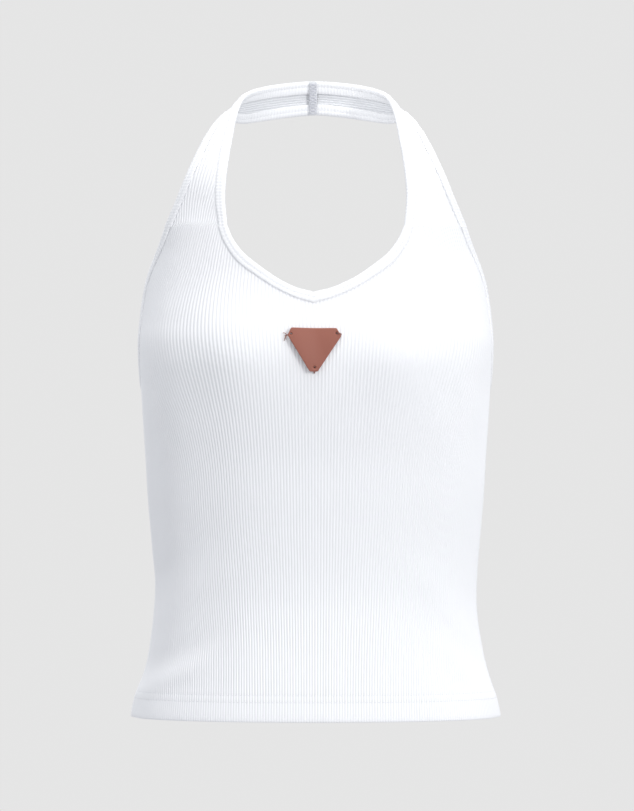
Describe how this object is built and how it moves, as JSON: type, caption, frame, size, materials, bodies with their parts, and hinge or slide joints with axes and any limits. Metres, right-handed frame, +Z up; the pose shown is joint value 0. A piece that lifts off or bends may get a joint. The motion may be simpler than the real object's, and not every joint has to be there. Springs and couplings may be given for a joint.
{
  "type": "halter neck top",
  "caption": "Sleeveless halter neck top in ribbed knit, worn shape and hollow, with a V neckline, bound edges, low back and a small leather badge.",
  "frame": {"origin": "inner face of the neck strap at the centre back, where the nape carries it", "axes": "+Z up, the front faces -Y, +X to the viewer's right as seen from the front"},
  "size_m": [0.3124, 0.209, 0.5431],
  "materials": {
    "rib_knit": "white cotton rib knit, matt",
    "binding_knit": "white rib knit folded over the edge, matt",
    "seam_thread": "white overlock and coverstitch thread",
    "badge_leather": "reddish brown leather, fine grain, bare face"
  },
  "bodies": {
    "root": {"front_panel": "rib_knit", "back_panel": "rib_knit", "neck_binding": "binding_knit", "armhole_binding": "binding_knit", "neck_seam": "seam_thread", "badge": "badge_leather"}
  },
  "joints": []
}
